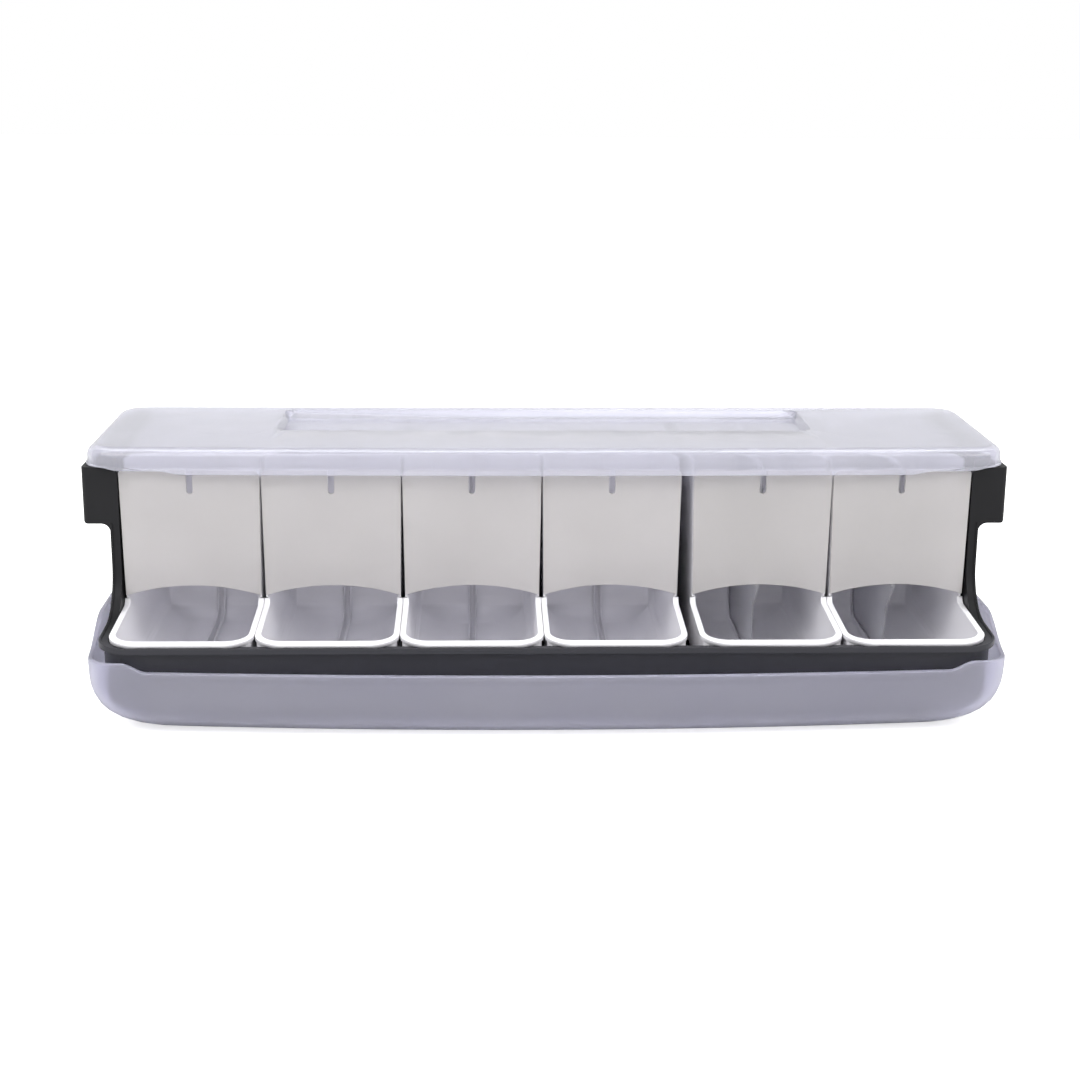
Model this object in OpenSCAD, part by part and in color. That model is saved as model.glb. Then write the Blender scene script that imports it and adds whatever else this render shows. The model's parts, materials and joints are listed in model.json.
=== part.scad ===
// Condiment caddy with six flip-lid trays, millimetres, +Z up, front towards -Y.
// The origin is the middle of the footprint, on the surface the caddy stands on.
// Inside the modules Y = 0 is the front plane, flush with the lids and the frame's edges.

/* [Trays] */
// Width of one tray at its top
tray_w = 76.2; // [66:0.2:90]
// Draft of a tray's sides: how far each one leans in towards the floor
tray_taper = 1.8; // [0.4:0.1:4]
// Radius between a tray's floor and its front and back
tray_end_r = 16; // [10:1:18]
// Lean of a scoop's front wall
scoop_lean = 4; // [2:0.5:6]
// Length of the hopper behind the front plane
tray_d = 113; // [95:1:130]
// Reach of the scoop ahead of the front plane
scoop_reach = 56.5; // [45:0.5:60]
// Height of the tray tops above the ground
tray_top = 132.5; // [120:0.5:145]
// Wall of a tray
tray_wall = 1.6; // [1.2:0.1:2]
// Radius between a tray's floor and its sides
tray_foot_r = 20; // [14:1:24]
// Radius at the upright corners of a tray
tray_corner_r = 12; // [8:1:18]
// Clearance between neighbouring trays
tray_gap = 0.3; // [0.2:0.1:1]
// Spare room in the row, left open at its gap
row_slack = 6.5; // [2:0.5:10]
// Number of trays to the left of that gap
trays_left = 4; // [1:1:4]
// Width of the rim round the scoop
rim_w = 3; // [2:0.25:4]
// Thickness of the rim round the scoop
rim_t = 2; // [1.4:0.1:3]
// Overhang of the rim beyond the scoop's front wall
rim_reach = 4.5; // [2:0.5:5]
// Height of the rim above the ground at the very front
rim_front_z = 51; // [48:0.5:58]
// Rise of the rim from the very front to the front plane
rim_rise = 3.5; // [1:0.5:6]

/* [Lids] */
// Thickness of a lid
lid_t = 2.2; // [1.8:0.1:3]
// Clearance between a lid's lower corners and the rim
lid_foot_gap = 1.5; // [1:0.25:4]
// Rise of the arch in the lid's lower edge
lid_arch = 5.7; // [2:0.1:10]
// Distance of the hinge axis behind the front edges of the tray's sides
hinge_in = 3; // [2.6:0.1:5]
// Setback of a lid's edges from the outsides of its tray
lid_edge_in = 0.1; // [0:0.05:1]
// Clearance between a lid's lugs and the tray's sides
lid_side_gap = 0.3; // [0.2:0.05:0.6]
// Clearance between a lid and what it closes against
lid_face_gap = 0.35; // [0.3:0.05:0.8]
// Thickness of the two lugs behind a lid
lug_t = 2.4; // [1.6:0.1:4]
// Diameter of the hinge pins
pin_d = 2.2; // [1.6:0.1:2.6]
// Radial clearance of the pins in their holes
pin_fit = 0.05; // [0.02:0.01:0.1]
// Width of the slot in the lid's top
slot_w = 3.4; // [2.8:0.1:4.5]
// Depth of that slot
slot_h = 14; // [9:0.5:18]
// Radius of the lid's upper corners
lid_corner_r = 3; // [1:0.5:6]

/* [Dividers] */
// Thickness of a divider
divider_t = 2; // [1.4:0.1:2]
// Width of the bead on a divider's top
divider_bead = 4.2; // [3:0.2:6]
// Clearance between a divider and what holds it
divider_gap = 0.3; // [0.2:0.05:0.5]
// Length of the divider's slanted lower front
divider_slant = 16; // [8:1:24]
// Height of the guide ribs that hold a divider
guide_h = 3; // [2:0.5:5]
// Width of a guide rib
guide_w = 1.4; // [1:0.1:2]

/* [Frame] */
// Wall of the frame
frame_wall = 2.3; // [1.8:0.1:3]
// Room between the tray row and the frame's walls
frame_gap = 0.5; // [0.3:0.1:1.5]
// Overhang of the frame's rim beyond its wall
flange_w = 2.7; // [2:0.1:4]
// Overhang of the frame's rim at the front
flange_front = 3.5; // [2:0.5:5]
// Height of the small lip round the frame's rim
bead_h = 0.8; // [0.4:0.1:1.5]
// Radius of the sweep from the front rim up the sides
sweep_r = 27; // [20:1:32]
// Radius at the rim's front corners
flange_corner_r = 18; // [12:1:24]

/* [Handles] */
// Reach of a handle beyond the frame's side wall
handle_reach = 17.2; // [14:0.2:22]
// Height of a handle's apron
handle_h = 31.5; // [25:0.5:36]
// Drop of the handles' tops below the tray tops
handle_drop = 0.3; // [0:0.1:3]
// Setback of the shoulder under the cover from the handle's outer face
shoulder_in = 7.6; // [6:0.2:10]

/* [Cover] */
// Height of the cover
cover_h = 10.6; // [10:0.2:16]
// Wall of the cover
cover_wall = 2.2; // [1.6:0.1:2.6]
// Setback of the cover's sides from the handles' outer faces
cover_in = 1.6; // [1:0.1:3]
// Room between the frame's upright rim and the cover's front corners
cover_gap = 0.45; // [0.35:0.05:1.5]
// Reach of the cover behind the frame's back
cover_behind = 5.2; // [4.6:0.1:8]
// Bow of the cover's front edge
cover_bow = 3.5; // [1:0.5:4]
// Radius of the cover's upright corners
cover_corner_r = 16; // [12:1:20]
// Radius of the cover's upper edges
cover_edge_r = 6; // [4:0.5:7]
// Depth of the lip along the middle of the cover's front
lip_h = 3.5; // [2:0.5:4]
// Half length of that lip
lip_half = 197; // [150:1:205]
// Depth of the lip beyond its sweeps, over the handles
lip_end_h = 1.6; // [1:0.1:2]
// Width of the bead along the skirt's lower edge
cover_bead_w = 0.6; // [0.4:0.1:1]
// Half length of the recess in the cover
recess_half = 152; // [100:1:180]
// Distance of the recess behind the front plane
recess_front = 46; // [35:1:60]
// Width of the recess from front to back
recess_d = 62; // [40:1:66]
// Depth of the recess
recess_depth = 5; // [2:0.5:5.5]

/* [Tub] */
// Wall of the tub
tub_wall = 2.5; // [2:0.1:3]
// Room between the frame and the tub's front corners
tub_front_gap = 1.2; // [0.8:0.1:3]
// Room between the frame's rim and the tub's sides
tub_gap = 3; // [1:0.5:6]
// Room between the frame's back and the tub's rear wall
tub_back_gap = 1.5; // [0.8:0.1:4]
// Height of the ribs in the tub that the frame stands on
rib_h = 4.9; // [3:0.1:8]
// Drop of the tub's rim, at its front corners, below the frame's rim
tub_corner_drop = 7.2; // [5:0.1:12]
// Drop of the rim along the middle of the front
tub_dip = 4.5; // [2:0.5:6]
// Rise of the tub's side walls above its front corners
tub_side_rise = 14.5; // [8:0.5:22]
// Bow of the tub's front
tub_bow = 9; // [4:0.5:12]
// Radius between the tub's floor and its end walls
tub_end_r = 30; // [24:1:34]
// Radius between the tub's floor and its front
tub_front_r = 16; // [8:1:20]
// Lean of the tub's front wall
tub_lean = 5; // [1:0.5:8]
// Radius of the tub's front corners
tub_corner_r = 15; // [10:1:20]
// Width of the ledge under the tub's rim
tub_rim = 1.2; // [0.6:0.2:2]

/* [Hidden] */
$fn = 96;
tray_count = 6;
// Length past every solid, for cuts
FAR = 400;
// Rest clearance between parts that stand on each other
seat_gap = 0.3;
// Overlap of forms that run into each other
overlap = 0.01;
// Facets of the shallow bows, and the turn between facets of the cover's rounded edge
BOW_FN = 720;
edge_step = 15;
// Facets of corners that meet mitred slopes: no vertex falls on the mitre
OFF_MITRE_FN = 100;

// Width of a tray at its floor
tray_floor_w = tray_w - 2 * tray_taper;

// Half width of the row of trays
row_half = (tray_count * tray_w + (tray_count - 2) * tray_gap + row_slack) / 2;

// Left-to-right place of tray i, counted from 1
function tray_x(i) = -row_half + tray_w / 2 + (i - 1) * (tray_w + tray_gap)
    + (i > trays_left ? row_slack - tray_gap : 0);

frame_in = row_half + frame_gap;
frame_half = frame_in + frame_wall;
flange_half = frame_half + flange_w;
handle_half = frame_half + handle_reach;
shoulder_half = handle_half - shoulder_in;
cover_half = handle_half - cover_in;
tub_in = flange_half + tub_gap;
tub_half = tub_in + tub_wall;

// Depth of the tub's foot ring below its floor, and the ring's width and setback
foot_h = 0.8;
foot_w = 4;
foot_in = 3;

frame_low = foot_h + tub_wall + rib_h + seat_gap;
tray_low = frame_low + frame_wall + seat_gap;
frame_front = -scoop_reach - frame_gap - frame_wall;
frame_back = tray_d + frame_gap + frame_wall;
handle_top = tray_top - handle_drop;
handle_low = handle_top - handle_h;
frame_end_r = tray_foot_r + frame_wall + 2;
frame_rim_z = rim_front_z - rim_t - seat_gap;
flange_y = frame_front - flange_front;
cover_low = handle_top + seat_gap;
cover_top = cover_low + cover_h;
cover_back = frame_back + cover_behind;
// The shoulder ends where the cover's inside begins to round
frame_top = cover_top - cover_edge_r;
// How far the cover's rounded corner draws back over the frame's upright rim
corner_in_r = cover_corner_r - cover_wall;
corner_past = flange_half - cover_half + cover_corner_r;
corner_sag = corner_in_r - sqrt(corner_in_r * corner_in_r - corner_past * corner_past);
cover_front = cover_gap + corner_sag + cover_bow + cover_wall;
cover_bead_h = 1.3;
recess_corner_r = 8;
lip_run = 14;
lip_fade = 12;
tub_front = frame_front - tub_front_gap - tub_wall - tub_bow;
tub_back = frame_back + tub_back_gap + tub_wall;
tub_corner_z = frame_rim_z - tub_corner_drop;

// Where the tub's rim dips along the front and climbs towards the sides
tub_flat = tub_half - tub_corner_r;
dip_run = 14;
dip_half = tub_flat - dip_run - 4;
climb_in = 8;
climb_y = frame_front + climb_in;
climb_run = 40;
// Height of the rolled edge, and the blunting of the rim
rim_roll_h = 2.6;
rim_edge = 0.4;
// Width of a floor rib, and its distance from the frame's front and back
rib_w = 3;
rib_end = 25;

// Middle of the footprint, seen from the trays' front plane
lid_plane = -(tub_front - tub_rim + cover_back) / 2;

// A lid closes against the front edges of its tray's sides, which are rounded about the hinge
edge_y = lid_t + lid_face_gap;
hinge_y = edge_y + hinge_in;
mouth_r = 4;
mouth_y = -scoop_reach - rim_reach;
// The frame's rim slopes as the trays' rims do
flange_rise = rim_rise * flange_y / (mouth_y - edge_y);

lid_low = rim_front_z + rim_rise + mouth_r + lid_foot_gap;
lid_drop = 1.2;
lid_top = tray_top - lid_drop;
// Opened level, a lid's face passes just under the cover's lip
hinge_z = cover_low - lip_h - lid_face_gap - hinge_y;
lid_tail = lid_top - hinge_z;
sweep = sqrt(pow(hinge_y, 2) + pow(lid_tail, 2)) + lid_face_gap;
slot_foot = lid_top - slot_h + slot_w / 2;

// A divider keeps clear of its lid, and its top and its guides stop below the tray's
divider_y = hinge_y + 2;
divider_foot_z = lid_low + 2;
divider_drop = 2;
guide_drop = 6;
divider_top = tray_top - divider_drop;
guide_top = tray_top - guide_drop;
bead_y = hinge_y + sweep + 1;
bead_t = 3;

// Small radii on the frame
handle_r = 3;
shoulder_r = 9;
fillet_r = 5;

// Half width of a tray at height z
function tray_half(z) = tray_floor_w / 2
    + (tray_w - tray_floor_w) / 2 * (z - tray_low) / (tray_top - tray_low);

// Smooth step from 0 to 1
function ease(t) = (1 - cos(180 * t)) / 2;

// Points of a smooth step from a to b
function step_points(a, b, n = 8) =
    [for (i = [0:n]) [a[0] + (b[0] - a[0]) * i / n, a[1] + (b[1] - a[1]) * ease(i / n)]];

// Extrudes a side view, drawn as (Y, Z), across the width
module across(w = 2 * FAR) {
    rotate([90, 0, 90]) linear_extrude(w, center = true) children();
}

// Extrudes a front view, drawn as (X, Z), from y0 to y1
module along(y0 = -FAR, y1 = FAR) {
    translate([0, y1, 0]) rotate([90, 0, 0]) linear_extrude(y1 - y0) children();
}

// Extrudes a plan from z0 to z1
module upward(z0, z1) {
    translate([0, 0, z0]) linear_extrude(z1 - z0) children();
}

// Rectangle in plan, with front corners rounded by rf and rear ones by rb
module round_plan(half, y0, y1, rf, rb) {
    mid = (y0 + y1) / 2;
    translate([-half, y0 + rf]) square([2 * half, y1 - y0 - rf - rb]);
    translate([-half + rf, y0]) square([2 * (half - rf), mid - y0]);
    translate([-half + rb, mid]) square([2 * (half - rb), y1 - mid]);
    for (s = [-1, 1]) {
        translate([s * (half - rf), y0 + rf]) circle(rf);
        translate([s * (half - rb), y1 - rb]) circle(rb);
    }
}

// The same with its front bowed outward
module bowed_plan(half, y0, y1, bow, rf, rb) {
    flat = half - rf;
    r = (flat * flat + bow * bow) / (2 * bow);
    round_plan(half, y0 + bow, y1, rf, rb);
    intersection() {
        translate([0, y0 + r]) circle(r, $fn = BOW_FN);
        translate([-flat - overlap, y0]) square([2 * (flat + overlap), (y1 - y0) / 2]);
    }
}

// Front view of a basin whose lower corners are rounded
module end_profile(top_half, low_half, z0, z1, r) {
    h = low_half + (top_half - low_half) * r / (z1 - z0);
    polygon([[-top_half, z1], [top_half, z1], [h, z0 + r], [h - r, z0], [r - h, z0], [-h, z0 + r]]);
    for (s = [-1, 1]) translate([s * (h - r), z0 + r]) circle(r);
}

// Side view of a basin with a leaning front, rounded below; the front is y0 at height rim
module side_profile(y0, y1, z0, z1, rim, lean, r) {
    function front(z) = y0 + lean * (rim - z) / (rim - z0);
    f = front(z0 + r);
    polygon([[front(z1), z1], [y1, z1], [y1, z0 + r], [y1 - r, z0], [f + r, z0], [f, z0 + r]]);
    translate([f + r, z0 + r]) circle(r);
    translate([y1 - r, z0 + r]) circle(r);
}

// Side view of all that lies ahead of a mouth: above a line that rises from (y0, z0) and
// ahead of the front plane, joined by a sweep of radius r, all of it moved in by d
module mouth(y0, z0, rise, r, d = 0) {
    a = atan(rise / -y0);
    far_y = 4 * y0;
    c = [-r, z0 + rise * (y0 + r) / y0 + r / cos(a)];
    polygon([
        [far_y, z0 - rise * 3 - d / cos(a)],
        [c[0] + (r + d) * sin(a), c[1] - (r + d) * cos(a)],
        [d, c[1]], [d, FAR], [far_y, FAR]
    ]);
    translate(c) circle(r + d + overlap);
}

// A solid lofted from ring to ring of points, closed by the first and the last
module loft(rings) {
    n = len(rings[0]);
    last = len(rings) - 1;
    polyhedron(
        points = [for (ring = rings) for (p = ring) p],
        faces = concat(
            [[for (i = [0:n - 1]) i]],
            [for (k = [0:last - 1]) for (i = [0:n - 1]) let (j = (i + 1) % n)
                [k * n + i, (k + 1) * n + i, (k + 1) * n + j]],
            [for (k = [0:last - 1]) for (i = [0:n - 1]) let (j = (i + 1) % n)
                [k * n + i, (k + 1) * n + j, k * n + j]],
            [[for (i = [n - 1:-1:0]) last * n + i]]
        )
    );
}

module tray_form(inset) {
    top = tray_top + inset;
    intersection() {
        across() side_profile(-scoop_reach + inset, tray_d - inset, tray_low + inset, top,
            rim_front_z, scoop_lean, tray_end_r - inset);
        along() end_profile(tray_half(top) - inset, tray_half(tray_low) - inset,
            tray_low + inset, top, tray_foot_r - inset);
        upward(0, top) round_plan(tray_w / 2 - inset, -scoop_reach + inset, tray_d - inset,
            tray_corner_r - inset, tray_corner_r - inset);
    }
}

module tray_mouth(d = 0) {
    translate([0, edge_y, 0])
        across() mouth(mouth_y - edge_y, rim_front_z, rim_rise, mouth_r, d);
}

// Flat rim round the scoop, resting on the frame's rim
module scoop_rim() {
    inner_y = -scoop_reach + tray_wall;
    difference() {
        upward(0, lid_low) difference() {
            round_plan(tray_w / 2, mouth_y, tray_d, tray_corner_r + rim_reach, tray_corner_r);
            round_plan(tray_w / 2 - rim_w, inner_y, tray_d, tray_corner_r, tray_corner_r);
        }
        tray_mouth();
        difference() {
            translate([-FAR, -FAR, 0]) cube([2 * FAR, 2 * FAR, FAR]);
            tray_mouth(rim_t);
        }
        translate([-FAR, edge_y, 0]) cube([2 * FAR, FAR, FAR]);
    }
}

// Room that a lid's top sweeps as it opens; the tray's sides are rounded about the hinge below
module lid_sweep() {
    across() {
        difference() {
            translate([-FAR, hinge_z]) square([FAR + hinge_y, FAR]);
            translate([hinge_y, hinge_z]) circle(hinge_in);
        }
        translate([hinge_y - overlap, hinge_z + hinge_in]) square([sweep, FAR]);
    }
}

// Pairs of ribs up the back and along the floor that hold a divider
module divider_guides() {
    x = divider_t / 2 + divider_gap;
    intersection() {
        difference() {
            tray_form(tray_wall / 2);
            tray_form(tray_wall + guide_h);
        }
        union() {
            for (s = [0, 1]) mirror([s, 0, 0])
                translate([x, divider_y + 2 * divider_slant, 0])
                    cube([guide_w, tray_d, guide_top]);
        }
    }
}

module tray(i) {
    color("#F2F1F4") translate([tray_x(i), lid_plane, 0]) difference() {
        union() {
            difference() {
                tray_form(0);
                tray_form(tray_wall);
                tray_mouth();
            }
            scoop_rim();
            divider_guides();
        }
        lid_sweep();
        translate([0, hinge_y, hinge_z]) rotate([0, 90, 0])
            cylinder(h = 2 * tray_w, d = pin_d + 2 * pin_fit, center = true);
    }
}

// Front view of a lid: as wide as its tray, with an arched lower edge and a slot at the top
module lid_shape() {
    shoulder = lid_top - lid_corner_r;
    top = tray_half(shoulder) - lid_edge_in;
    low = tray_half(lid_low) - lid_edge_in;
    arch_r = (low * low + lid_arch * lid_arch) / (2 * lid_arch);
    difference() {
        union() {
            polygon([[-low, lid_low], [low, lid_low], [top, shoulder], [-top, shoulder]]);
            translate([lid_corner_r - top, shoulder])
                square([2 * (top - lid_corner_r), lid_corner_r]);
            for (s = [-1, 1]) translate([s * (top - lid_corner_r), shoulder])
                circle(lid_corner_r);
        }
        translate([0, lid_low + lid_arch - arch_r]) circle(arch_r, $fn = BOW_FN);
        translate([0, slot_foot]) circle(d = slot_w);
        translate([-slot_w / 2, slot_foot]) square([slot_w, FAR]);
    }
}

// The two lugs that run back between the tray's sides, each with a pin into the side
module lid_lugs() {
    lug_r = hinge_in - lid_face_gap;
    edge = tray_half(hinge_z) - tray_wall - lid_side_gap;
    for (s = [0, 1]) mirror([s, 0, 0]) {
        translate([edge - lug_t / 2, 0, 0]) across(lug_t) {
            translate([hinge_y, hinge_z]) circle(lug_r);
            translate([lid_t / 2, hinge_z - lug_r]) square([hinge_y - lid_t / 2, 2 * lug_r]);
        }
        translate([edge - lug_t / 2, hinge_y, hinge_z]) rotate([0, 90, 0])
            cylinder(h = lug_t / 2 + lid_side_gap + tray_wall - 0.2, d = pin_d);
    }
}

module flip_lid(i) {
    color("#C9C5C4") translate([tray_x(i), lid_plane, 0]) {
        along(0, lid_t) lid_shape();
        lid_lugs();
    }
}

// Side view of a divider: it fills the hopper behind the lid and slants back below it
module divider_shape() {
    gap = tray_wall + divider_gap;
    toe = 1.4 * divider_slant;
    intersection() {
        side_profile(-scoop_reach + gap, tray_d - gap, tray_low + gap, divider_top,
            rim_front_z, scoop_lean, tray_end_r - gap);
        polygon([
            [divider_y, FAR], [divider_y, divider_foot_z],
            [divider_y + divider_slant, divider_foot_z - divider_slant],
            [divider_y + toe, 0], [FAR, 0], [FAR, FAR]
        ]);
    }
}

module divider(i) {
    back = tray_d - tray_wall - divider_gap;
    bead_r = divider_bead / 2 - 0.1;
    color("#DADADF") translate([tray_x(i), lid_plane, 0]) {
        across(divider_t) divider_shape();
        upward(divider_top - bead_t, divider_top)
            round_plan(divider_bead / 2, bead_y, back, bead_r, 0.5);
    }
}

module frame_form(inset) {
    intersection() {
        across() side_profile(frame_front + inset, frame_back - inset, frame_low + inset,
            frame_top + inset, frame_rim_z, scoop_lean, tray_end_r + frame_wall - inset);
        along() end_profile(frame_half - inset, frame_half - inset, frame_low + inset,
            frame_top + inset, frame_end_r - inset);
        upward(0, frame_top + inset) round_plan(frame_half - inset, frame_front + inset,
            frame_back - inset, tray_corner_r + frame_wall - inset,
            tray_corner_r + frame_wall - inset);
    }
}

module frame_mouth(d = 0) {
    across() mouth(flange_y, frame_rim_z, flange_rise, sweep_r, d);
}

// A band along the mouth of the frame, from d0 outside its edge to d1 inside, in a plan ring
module mouth_band(d0, d1, ring_in, top) {
    difference() {
        upward(frame_low, top) difference() {
            round_plan(flange_half, flange_y, frame_back, flange_corner_r, 2);
            round_plan(flange_half - ring_in, flange_y + ring_in, FAR,
                flange_corner_r - min(ring_in, flange_w + frame_wall), 2);
        }
        frame_mouth(d0);
        difference() {
            translate([-FAR, -FAR, 0]) cube([2 * FAR, 2 * FAR, FAR]);
            frame_mouth(d1);
        }
    }
}

module handle_form(inset) {
    low = inset > 0 ? handle_low - 1 : handle_low;
    step = handle_top - inset;
    upward(low, step) round_plan(handle_half - inset, inset, frame_back - inset,
        handle_r, handle_r);
    upward(step - 1, frame_top - inset) round_plan(shoulder_half - inset,
        handle_r / 2 + inset, frame_back - inset, shoulder_r - inset, shoulder_r - inset);
}

// Both carrying handles: hollow, open below, with a shoulder that centres the cover
module handles() {
    difference() {
        intersection() {
            handle_form(0);
            along() end_profile(handle_half, handle_half, handle_low, FAR, 2);
        }
        difference() {
            handle_form(frame_wall);
            translate([-frame_half, -FAR, 0]) cube([2 * frame_half, 2 * FAR, FAR]);
        }
        translate([-frame_in, -FAR, 0]) cube([2 * frame_in, 2 * FAR, FAR]);
    }
}

// Fillets between the handles' front plates and the frame's upright rim
module handle_fillets() {
    along(0, frame_wall) for (s = [0, 1]) mirror([s, 0]) difference() {
        translate([flange_half - 1, handle_low - fillet_r]) square(fillet_r + 1);
        translate([flange_half + fillet_r, handle_low - fillet_r]) circle(fillet_r);
    }
}

// Ledge along the back for the cover's rear skirt
module back_ledge() {
    upward(handle_top - frame_wall, handle_top) difference() {
        round_plan(cover_half - 1, 0, cover_back - 0.5, handle_r, cover_corner_r);
        translate([-FAR, -FAR]) square([2 * FAR, FAR + frame_back - frame_wall]);
    }
}

module frame() {
    color("#2E2E2F") translate([0, lid_plane, 0]) {
        difference() {
            frame_form(0);
            frame_form(frame_wall);
            frame_mouth();
            translate([-frame_in, 0, handle_top]) cube([2 * frame_in, FAR, FAR]);
        }
        mouth_band(0, frame_wall, flange_w + frame_wall, frame_top);
        mouth_band(-bead_h, frame_wall, bead_h * 1.5, handle_low);
        handles();
        handle_fillets();
        back_ledge();
    }
}

module cover_plan(inset) {
    bowed_plan(cover_half - inset, -cover_front + inset, cover_back - cover_bead_w - inset,
        cover_bow, cover_corner_r - inset, cover_corner_r - inset);
}

// Plan of the bead round the skirt, sunk to the middle of its wall
module bead_plan() {
    difference() {
        bowed_plan(cover_half + cover_bead_w, -cover_front - cover_bead_w, cover_back,
            cover_bow, cover_corner_r + cover_bead_w, cover_corner_r + cover_bead_w);
        cover_plan(cover_wall / 2);
    }
}

// One level ring of the cover's outline, moved in by inset, at height z
function cover_ring(inset, z) =
    let (
        r = cover_corner_r - inset,
        x = cover_half - cover_corner_r,
        y0 = -cover_front + inset,
        y1 = cover_back - cover_bead_w - inset - r,
        bow_r = (x * x + cover_bow * cover_bow) / (2 * cover_bow),
        front = y0 + cover_bow + r,
        centres = [[x, front], [x, y1], [-x, y1], [-x, front]]
    )
    concat(
        [for (u = [-x + x / 6:x / 6:x - x / 12]) [u, y0 + bow_r - sqrt(bow_r * bow_r - u * u), z]],
        [for (k = [0:3]) for (a = [0:7.5:90])
            [centres[k][0] + r * sin(a + 90 * k), centres[k][1] - r * cos(a + 90 * k), z]]
    );

// The cover's form, moved in by inset: its rounded upper edge follows the plan all round
module cover_form(inset) {
    low = inset > 0 ? cover_low - 1 : cover_low;
    r = cover_edge_r - inset;
    loft(concat([cover_ring(inset, low)], [for (a = [0:edge_step:90])
        cover_ring(inset + r * (1 - cos(a)), cover_top - inset - r * (1 - sin(a)))]));
}

// The recess in the cover's top, with sloped sides; drop moves it down
module recess(drop) {
    z1 = cover_top - drop;
    z0 = z1 - recess_depth;
    slope = 0.6 * recess_depth;
    h = recess_half + drop;
    y0 = recess_front - drop;
    y1 = recess_front + recess_d + drop;
    intersection() {
        along() polygon([[-h, z1], [h, z1], [h - slope, z0], [slope - h, z0]]);
        across() polygon([[y0, z1], [y1, z1], [y1 - slope, z0], [y0 + slope, z0]]);
        upward(0, z1) round_plan(h, y0, y1, recess_corner_r, recess_corner_r,
            $fn = OFF_MITRE_FN);
    }
}

// The lip along the front: deep along the middle, shallower over the handles
module cover_lip() {
    ends = cover_half - cover_corner_r / 2;
    foot = [lip_half, cover_low - lip_h];
    knee = [lip_half + lip_run, cover_low - lip_end_h];
    toe = [ends, cover_low + cover_bead_h / 4];
    intersection() {
        upward(0, cover_low + cover_bead_h / 2) bead_plan();
        along() for (s = [0, 1]) mirror([s, 0])
            polygon(concat([[0, cover_top], [0, foot[1]]], step_points(foot, knee),
                step_points([ends - lip_fade, knee[1]], toe), [[ends, cover_top]]));
        translate([-FAR, -FAR, 0]) cube([2 * FAR, FAR - seat_gap, FAR]);
    }
}

// Bead along the lower edge of the skirt
module cover_bead() {
    upward(cover_low, cover_low + cover_bead_h) bead_plan();
}

module top_cover() {
    color("#D7D9EA") translate([0, lid_plane, 0]) {
        difference() {
            union() {
                difference() {
                    cover_form(0);
                    cover_form(cover_wall);
                }
                recess(cover_wall);
            }
            recess(0);
        }
        cover_lip();
        cover_bead();
    }
}

// How far a wall rounded by r has drawn in at height z
function drawn_in(r, z) = z < r ? r - sqrt(r * r - (r - z) * (r - z)) : 0;

function clamp(t) = min(max(t, 0), 1);

// Height of the tub's rim over a point of its plan: it dips along the front and climbs the sides
function rim_height(p) = tub_corner_z
    - tub_dip * (1 - ease(clamp((abs(p[0]) - dip_half) / dip_run)))
    + tub_side_rise * ease(clamp((p[1] - climb_y) / climb_run));

// How far the rim rolls outward over a point of the plan, along the dip only
function rim_roll(p) = p[1] > climb_y ? 0
    : tub_rim * (1 - ease(clamp((abs(p[0]) - dip_half) / dip_run)));

// Right half of a bowed plan, from the front middle round to the back
function half_plan(half, y0, y1, rf, rb) =
    let (
        flat = half - rf,
        scale = flat / tub_flat,
        r = (flat * flat + tub_bow * tub_bow) / (2 * tub_bow),
        side = y0 + tub_bow + rf,
        xs = concat([for (i = [0:5]) dip_half * i / 6],
            [for (i = [0:8]) dip_half + dip_run * i / 8], [tub_flat])
    )
    concat(
        [for (x = xs) [x * scale, y0 + r - sqrt(r * r - x * x * scale * scale)]],
        [for (i = [1:6]) [flat + rf * sin(15 * i), side - rf * cos(15 * i)]],
        [for (i = [1:8]) [half, side + (climb_y + climb_run - side) * i / 8]],
        [for (i = [0:6]) [half - rb + rb * cos(15 * i), y1 - rb + rb * sin(15 * i)]]
    );

function whole(right) =
    concat(right, [for (i = [len(right) - 1:-1:1]) [-right[i][0], right[i][1]]]);

// Plan of the tub at height z of a wall that lies inset from the outside
function tub_plan(z, inset) =
    let (
        end = drawn_in(tub_end_r - inset, z - foot_h - inset),
        front = drawn_in(tub_front_r - inset, z - foot_h - inset),
        lean = tub_lean * (1 - z / tub_corner_z),
        r = tub_corner_r - inset + end / 2
    )
    whole(half_plan(tub_half - inset - end, tub_front + inset + front + lean,
        tub_back - inset - front, r, r));

// One level ring of the tub's wall
function level_ring(z, inset) = [for (p = tub_plan(z, inset)) [p[0], p[1], z]];

// A ring that follows the rim, drop below it and rolled out by the share roll
function rim_ring(inset, drop, roll) =
    let (outer = tub_plan(tub_corner_z, 0), plan = tub_plan(tub_corner_z, inset))
    [for (i = [0:len(plan) - 1])
        [plan[i][0], plan[i][1] - roll * rim_roll(outer[i]), rim_height(outer[i]) - drop]];

// The tub's wall and floor, lofted from ring to ring: up the outside, over the rim, down inside
module tub_shell() {
    levels = 9;
    function level(i, inset) = foot_h + inset + (tub_end_r - inset) * (1 - cos(90 * i / levels));
    rings = concat(
        [for (i = [0:levels]) level_ring(level(i, 0), 0)],
        [rim_ring(0, rim_roll_h + rim_edge, 0), rim_ring(0, rim_roll_h, 0.8),
            rim_ring(0, rim_edge, 1), rim_ring(rim_edge, 0, 1),
            rim_ring(tub_wall - rim_edge, 0, 0), rim_ring(tub_wall, rim_edge, 0)],
        [for (i = [levels:-1:0]) level_ring(level(i, tub_wall), tub_wall)]
    );
    loft(rings);
}

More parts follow.
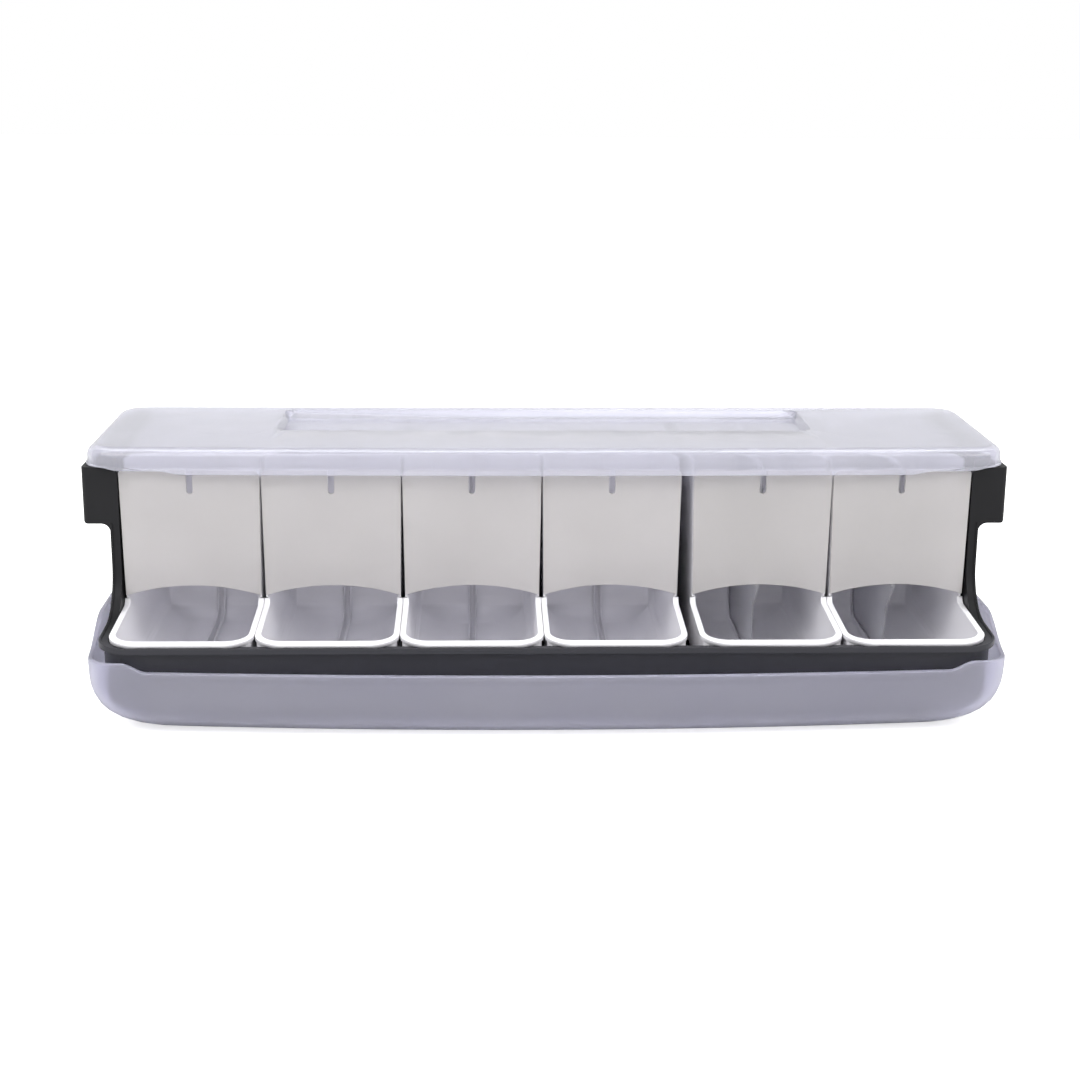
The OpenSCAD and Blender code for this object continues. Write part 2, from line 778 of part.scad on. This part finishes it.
// Ring under the floor that the tub stands on
module foot_ring() {
    half = tub_half - tub_end_r - foot_in;
    y0 = tub_front + tub_lean + tub_front_r + tub_bow + foot_in;
    y1 = tub_back - tub_front_r - foot_in;
    upward(0, foot_h + tub_wall / 2) difference() {
        round_plan(half, y0, y1, tub_end_r / 2, tub_end_r / 2);
        round_plan(half - foot_w, y0 + foot_w, y1 - foot_w, tub_end_r / 2 - foot_w,
            tub_end_r / 2 - foot_w);
    }
}

// Ribs on the tub's floor that the frame stands on, clear of melt water
module floor_ribs() {
    low = foot_h + tub_wall / 2;
    for (i = [-2:2])
        translate([i * tray_w - rib_w / 2, frame_front + rib_end, low])
            cube([rib_w, frame_back - frame_front - 2 * rib_end, frame_low - seat_gap - low]);
}

module base_tub() {
    color("#CFCFE0") translate([0, lid_plane, 0]) {
        tub_shell();
        foot_ring();
        floor_ribs();
    }
}

base_tub();
frame();
top_cover();
tray(1);  // tray_1
tray(2);  // tray_2
tray(3);  // tray_3
tray(4);  // tray_4
tray(5);  // tray_5
tray(6);  // tray_6
flip_lid(1);  // flip_lid_1
flip_lid(2);  // flip_lid_2
flip_lid(3);  // flip_lid_3
flip_lid(4);  // flip_lid_4
flip_lid(5);  // flip_lid_5
flip_lid(6);  // flip_lid_6
divider(5);  // divider_5
divider(6);  // divider_6
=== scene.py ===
# %% [markdown]
# # A condiment caddy with flip lids
#
# The object is a row of six plastic trays in a dark carrying frame. The frame stands in a
# frosted ice tub and carries a frosted cover. Every surface is moulded plastic, so the
# shapes come from the solid model, and the work here is in its edges and its plastics.

# %% Loading the solid model
import json
import math
import bmesh
import bpy
from mathutils import Matrix, Vector
from mathutils.bvhtree import BVHTree


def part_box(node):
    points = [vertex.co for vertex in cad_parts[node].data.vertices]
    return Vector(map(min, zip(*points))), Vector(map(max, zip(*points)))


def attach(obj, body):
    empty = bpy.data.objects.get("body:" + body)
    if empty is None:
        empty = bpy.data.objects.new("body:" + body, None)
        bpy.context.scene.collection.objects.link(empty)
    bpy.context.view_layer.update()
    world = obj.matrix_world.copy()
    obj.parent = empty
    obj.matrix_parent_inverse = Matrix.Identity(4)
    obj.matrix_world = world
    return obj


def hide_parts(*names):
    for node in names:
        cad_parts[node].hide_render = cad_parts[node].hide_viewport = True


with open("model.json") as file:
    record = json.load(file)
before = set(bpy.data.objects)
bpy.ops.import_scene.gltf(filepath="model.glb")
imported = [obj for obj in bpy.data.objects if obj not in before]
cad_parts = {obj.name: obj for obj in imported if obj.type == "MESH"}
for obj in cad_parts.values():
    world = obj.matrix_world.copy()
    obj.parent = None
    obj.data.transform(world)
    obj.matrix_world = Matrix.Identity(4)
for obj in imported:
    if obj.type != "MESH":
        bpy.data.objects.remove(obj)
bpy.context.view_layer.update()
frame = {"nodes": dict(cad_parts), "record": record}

MM = 0.001

# %% [markdown]
# ## The camera
#
# The camera stands a little to the left of the middle and a metre away, looks fifteen
# degrees down and uses a long lens, so that the row of trays stays nearly parallel. It could
# be aimed at a point, but three plain angles are easier to change one at a time.

# %% The camera
FRAME_PX = 1080
SENSOR_MM = 36
FARTHEST_SEEN_M = 20


def place_camera(place_mm, pitch, yaw, roll, focal_px):
    data = bpy.data.cameras.new("camera")
    data.sensor_width = SENSOR_MM
    data.lens = focal_px / FRAME_PX * SENSOR_MM
    data.clip_end = FARTHEST_SEEN_M
    camera = bpy.data.objects.new("camera", data)
    camera.matrix_world = (Matrix.Translation(Vector(place_mm) * MM)
        @ Matrix.Rotation(math.radians(-yaw), 4, "Z")
        @ Matrix.Rotation(math.radians(90 - pitch), 4, "X")
        @ Matrix.Rotation(math.radians(roll), 4, "Z"))
    bpy.context.collection.objects.link(camera)
    bpy.context.scene.camera = camera
    print("lens", round(data.lens, 1), "mm")


place_camera((-38.4, -1023.2, 358.5), pitch=14.96, yaw=1.967, roll=0.435, focal_px=1885.4)

# %% [markdown]
# ## Building materials
#
# A material here is a small tree of nodes. One function turns the sRGB colours that people
# write as hex into the linear values that a renderer needs. Another adds a node with its
# settings and links in one line, so each material reads as a list of what it is made of.
# A socket is given by its name, or by an underscore and its number where names repeat.

# %% Colours and nodes
def colour(hex_code):
    parts = [int(hex_code[i:i + 2], 16) / 255 for i in (1, 3, 5)]
    return [c / 12.92 if c <= 0.04045 else ((c + 0.055) / 1.055) ** 2.4 for c in parts] + [1]


def add(material, kind, settings=None, **inputs):
    node = material.node_tree.nodes.new("ShaderNode" + kind)
    for name, value in (settings or {}).items():
        setattr(node, name, value)
    for name, value in inputs.items():
        socket = node.inputs[int(name[1:]) if name[0] == "_" else name.replace("_", " ")]
        if isinstance(value, bpy.types.NodeSocket):
            material.node_tree.links.new(value, socket)
        else:
            socket.default_value = value
    return node


def new_material(name):
    material = bpy.data.materials.new(name)
    material.use_nodes = True
    material.node_tree.nodes.clear()
    return material


def finish_material(material, shader):
    add(material, "OutputMaterial", Surface=shader.outputs[0])
    print("material:", material.name, len(material.node_tree.nodes), "nodes")
    return material


# %% [markdown]
# ## Grain of moulded plastic
#
# A moulded part takes the texture of its steel mould. On the black and the white plastic
# that is a spark-eroded grain. The real grain is finer than shows from a metre away, so it
# is drawn about a millimetre across. All parts have slow waves, where the plastic shrank as
# it cooled. Both are only bumps, so they change the gloss and not the colour. The frosted
# plastic has no separate grain, since its roughness is the frost.

# %% The grain
def waves(material, wave_mm=45, depth_mm=0.06):
    place = add(material, "TexCoord").outputs["Object"]
    slow = add(material, "TexNoise", Vector=place, Scale=1000 / wave_mm, Detail=1)
    return add(material, "Bump", Strength=1, Distance=depth_mm * MM,
        Height=slow.outputs["Fac"]).outputs["Normal"]


def grain(material, grain_mm, depth_mm):
    place = add(material, "TexCoord").outputs["Object"]
    fine = add(material, "TexNoise", Vector=place, Scale=1000 / grain_mm, Detail=2)
    return add(material, "Bump", Strength=1, Distance=depth_mm * MM,
        Height=fine.outputs["Fac"], Normal=waves(material)).outputs["Normal"]


# %% [markdown]
# ## Uneven colour and gloss
#
# No moulding has one flat colour. The dye varies a little from patch to patch, and hands
# and cloths rub some places glossier than others. Soft noise drives both: a ramp between
# two close colours, and a narrow range of roughness. A noise node counts its patches per
# metre, and its values lie mostly between 0.3 and 0.7.

# %% The patches
def tinted(material, first, second, patch_mm):
    place = add(material, "TexCoord").outputs["Object"]
    patch = add(material, "TexNoise", Vector=place, Scale=1000 / patch_mm, Detail=3)
    ramp = add(material, "ValToRGB", Fac=patch.outputs["Fac"])
    ramp.color_ramp.elements[0].position = 0.35
    ramp.color_ramp.elements[1].position = 0.65
    ramp.color_ramp.elements[0].color = colour(first)
    ramp.color_ramp.elements[1].color = colour(second)
    return ramp.outputs["Color"]


def rubbed(material, rough, glossier, duller, patch_mm=18):
    place = add(material, "TexCoord").outputs["Object"]
    wear = add(material, "TexNoise", Vector=place, Scale=1000 / patch_mm, Detail=4)
    return add(material, "MapRange", Value=wear.outputs["Fac"], From_Min=0.3, From_Max=0.7,
        To_Min=rough - glossier, To_Max=rough + duller).outputs["Result"]


# %% [markdown]
# ## Frosted polypropylene
#
# Natural polypropylene is milky: light goes in, scatters and comes out soft. What lies
# close behind it shows through as a blur. A volume inside each wall would be the truest way
# and a slow one. Here part of the light passes the shader as rough transmission, and the
# rest is scattered by a pale colour. The cover is the smoothest, so that the trays show
# through it. The tub is rougher and a little lavender, and blurs what stands in it. The
# lids and the dividers are the most milky.

# %% Frosted polypropylene
def frosted(name, first, second, through, rough):
    material = new_material(name)
    shader = add(material, "BsdfPrincipled",
        Base_Color=tinted(material, first, second, patch_mm=60),
        Roughness=rubbed(material, rough, glossier=0.04, duller=0.06), IOR=1.49,
        Normal=waves(material))
    shader.inputs["Transmission Weight"].default_value = through
    return finish_material(material, shader)


cover_plastic = frosted("frosted polypropylene, cover", "#F3F3FD", "#EFEFFA", through=0.78,
    rough=0.15)
tub_plastic = frosted("frosted polypropylene, tub", "#EFEEFE", "#EAE9FB", through=0.86,
    rough=0.34)
lid_plastic = frosted("frosted polypropylene, lids", "#E4E1E0", "#DEDBDA", through=0.6,
    rough=0.34)
divider_plastic = frosted("frosted polypropylene, dividers", "#ECECF0", "#E4E4EA",
    through=0.35, rough=0.4)

# %% [markdown]
# ## Satin black and satin white
#
# The frame is a black ABS moulding with a satin grain, which a hand rubs a little glossier.
# Its front band is painted paler, as painted light for the light that the floor and the tub
# throw up onto it. A mix along the depth of the object does that better than a second
# material, whose border would show.
# The trays are white polypropylene, nearly opaque, smooth enough to wipe clean.

# %% Opaque plastics
# painted light: the front of the frame is mixed towards a paler colour along the depth,
# standing in for light thrown up onto its front band
def painted_front_light(material, base, paler, painted_from_mm=58, painted_full_mm=76):
    place = add(material, "SeparateXYZ", Vector=add(material, "TexCoord").outputs["Object"])
    painted_light = add(material, "MapRange", Value=place.outputs["Y"], From_Min=-painted_from_mm * MM,
        From_Max=-painted_full_mm * MM)
    # a Mix node keeps its two colours in sockets 6 and 7, and their mix in output 2
    return add(material, "Mix", {"data_type": "RGBA"}, _0=painted_light.outputs["Result"], _6=base,
        _7=colour(paler)).outputs[2]


def opaque(name, first, second, rough, grain_mm, depth_mm, shine=0.5, soft=0.0, painted_light=None):
    material = new_material(name)
    base = tinted(material, first, second, patch_mm=90)
    shader = add(material, "BsdfPrincipled",
        Base_Color=painted_front_light(material, base, painted_light) if painted_light else base,
        Roughness=rubbed(material, rough, glossier=0.05, duller=0.07), IOR=1.5,
        Normal=grain(material, grain_mm, depth_mm))
    shader.inputs["Specular IOR Level"].default_value = shine
    shader.inputs["Subsurface Weight"].default_value = soft
    shader.inputs["Subsurface Radius"].default_value = (1, 1, 1)
    shader.inputs["Subsurface Scale"].default_value = 2 * MM
    return finish_material(material, shader)


# the paler front colour given here is painted light on the frame's front band
frame_plastic = opaque("satin ABS, frame", "#1B1B1D", "#202022", rough=0.42, grain_mm=0.8,
    depth_mm=0.012, shine=0.15, painted_light="#343439")
tray_plastic = opaque("satin polypropylene, trays", "#F3F2F6", "#EFEEF2", rough=0.33,
    grain_mm=1.0, depth_mm=0.008, soft=0.15)

# %% [markdown]
# ## Moulded skins
#
# Each solid is copied and merged into one skin whose curves shade smoothly. The cover, the
# tub and the trays have their rounded edges already. The frame and the lids are square, and
# there every edge that turns by more than about thirty degrees gets a round of a fifth of
# a millimetre, as the corners of a mould do. That draws the thin bright lines along them.
# A Bevel modifier would do it too, but where many long triangles meet in a point, a bevel
# can throw a vertex off the surface. Here such a vertex is brought back to the nearest
# point of the solid, and every vertex is kept inside the solid's box.

# %% Rounding the edges of a moulding
EDGE_ROUND_MM = 0.2
ROUNDED_FROM_DEGREES = 32
SHADED_SHARP_FROM_DEGREES = 40
WELD_MM = 0.002
STRAY_SHARE = 0.6

body_of = {n: b for b, nodes in frame["record"]["behaviour"]["bodies"].items() for n in nodes}


def round_edges(shape, width, box):
    skin = BVHTree.FromBMesh(shape)
    sharp = [e for e in shape.edges if len(e.link_faces) == 2
        and e.calc_face_angle(0) > math.radians(ROUNDED_FROM_DEGREES)]
    bmesh.ops.bevel(shape, geom=sharp, offset=width, offset_type="OFFSET",
        segments=2, profile=0.5, affect="EDGES", clamp_overlap=False, material=-1)
    for vert in shape.verts:
        nearest, _, _, distance = skin.find_nearest(vert.co)
        if distance > STRAY_SHARE * width:
            vert.co = nearest
        vert.co = [min(max(c, a), b) for c, a, b in zip(vert.co, *box)]
    return len(sharp)


def moulded(node, plastic, edge_mm):
    shape = bmesh.new()
    shape.from_mesh(frame["nodes"][node].data)
    bmesh.ops.remove_doubles(shape, verts=shape.verts, dist=WELD_MM * MM)
    rounded = round_edges(shape, edge_mm * MM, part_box(node)) if edge_mm else 0
    mesh = bpy.data.meshes.new(node + "_moulded")
    shape.to_mesh(mesh)
    shape.free()
    mesh.shade_smooth()
    mesh.set_sharp_from_angle(angle=math.radians(SHADED_SHARP_FROM_DEGREES))
    mesh.materials.append(plastic)
    piece = bpy.data.objects.new(node + "_moulded", mesh)
    bpy.context.collection.objects.link(piece)
    even = piece.modifiers.new("even shading", "WEIGHTED_NORMAL")
    even.keep_sharp = True
    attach(piece, body_of[node])
    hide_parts(node)
    print(piece.name, len(mesh.polygons), "faces,", rounded, "edges rounded")


# %% [markdown]
# ## Giving each part its plastic
#
# Parts of one kind come from one mould, so the trays share a plastic, and so do the lids
# and the dividers. The names of the solids tell the kind. Each solid gets the plastic as
# well as its moulded skin, so that it looks right wherever it is shown.

# %% The parts
plastics = {"base_tub": tub_plastic, "frame": frame_plastic, "top_cover": cover_plastic}
for node in frame["nodes"]:
    if node.startswith("tray_"):
        plastics[node] = tray_plastic
    elif node.startswith("flip_lid_"):
        plastics[node] = lid_plastic
    elif node.startswith("divider_"):
        plastics[node] = divider_plastic
for node, plastic in plastics.items():
    part = frame["nodes"][node]
    part.data.materials.clear()
    part.data.materials.append(plastic)
    square_edged = node == "frame" or node.startswith("flip_lid_")
    moulded(node, plastic, EDGE_ROUND_MM if square_edged else 0)
print("parts with a plastic:", len(plastics))

# %% [markdown]
# ## The floor
#
# The object stands on a pale floor that shows pure white to the camera and keeps only a
# soft shadow. More light would whiten it as well, but would also bleach the plastics. So a
# glow is added for camera rays alone, and nothing else is lit by it.

# %% The floor
FLOOR_HALF_M = 6
FLOOR_DROP_MM = 0.5
FLOOR_GLOW = 0.62


def pale_floor():
    mesh = bpy.data.meshes.new("floor")
    shape = bmesh.new()
    bmesh.ops.create_grid(shape, x_segments=1, y_segments=1, size=FLOOR_HALF_M)
    shape.to_mesh(mesh)
    shape.free()
    floor = bpy.data.objects.new("floor", mesh)
    bpy.context.collection.objects.link(floor)
    material = new_material("white paper floor")
    path = add(material, "LightPath")
    seen = add(material, "Math", {"operation": "MULTIPLY"}, _0=path.outputs["Is Camera Ray"],
        _1=FLOOR_GLOW)
    paper = add(material, "BsdfPrincipled", Base_Color=colour("#F4F4F4"), Roughness=0.9)
    glow = add(material, "Emission", Color=colour("#FFFFFF"), Strength=seen.outputs[0])
    both = add(material, "AddShader", _0=paper.outputs[0], _1=glow.outputs[0])
    finish_material(material, both)
    mesh.materials.append(material)
    floor.location.z = -FLOOR_DROP_MM * MM


pale_floor()

# %% [markdown]
# ## Light
#
# Frosted plastic wants broad light: small lamps would draw hard spots on it. A large soft
# lamp on each side of the camera and a wide one above give it long quiet highlights. The
# surround lights from everywhere, and shows pure white to the camera and through the
# frosted parts.

# %% The lamps and the white surround
def soft_lamp(name, place, aim, size, power):
    data = bpy.data.lights.new(name, "AREA")
    data.shape = "RECTANGLE"
    data.size, data.size_y = size
    data.energy = power
    lamp = bpy.data.objects.new(name, data)
    lamp.location = place
    lamp.rotation_euler = (Vector(aim) - Vector(place)).to_track_quat("-Z", "Y").to_euler()
    bpy.context.collection.objects.link(lamp)


def surround(light, seen):
    world = bpy.data.worlds.new("surround")
    bpy.context.scene.world = world
    world.use_nodes = True
    world.node_tree.nodes.clear()
    path = add(world, "LightPath")
    shown = add(world, "Math", {"operation": "MAXIMUM"}, _0=path.outputs["Is Camera Ray"],
        _1=path.outputs["Is Transmission Ray"])
    strength = add(world, "MapRange", Value=shown.outputs[0], To_Min=light, To_Max=seen)
    back = add(world, "Background", Color=colour("#FFFFFF"), Strength=strength.outputs[0])
    add(world, "OutputWorld", Surface=back.outputs[0])


soft_lamp("key", (-1.4, -1.6, 2.2), aim=(0, 0, 0.05), size=(2.4, 1.6), power=40)
soft_lamp("fill", (1.7, -1.5, 1.9), aim=(0, 0, 0.05), size=(2.4, 1.6), power=29)
soft_lamp("top", (0, 0.4, 2.2), aim=(0, 0, 0.1), size=(3.0, 1.6), power=22)
surround(light=0.85, seen=1.0)
bpy.context.scene.view_settings.view_transform = "Standard"
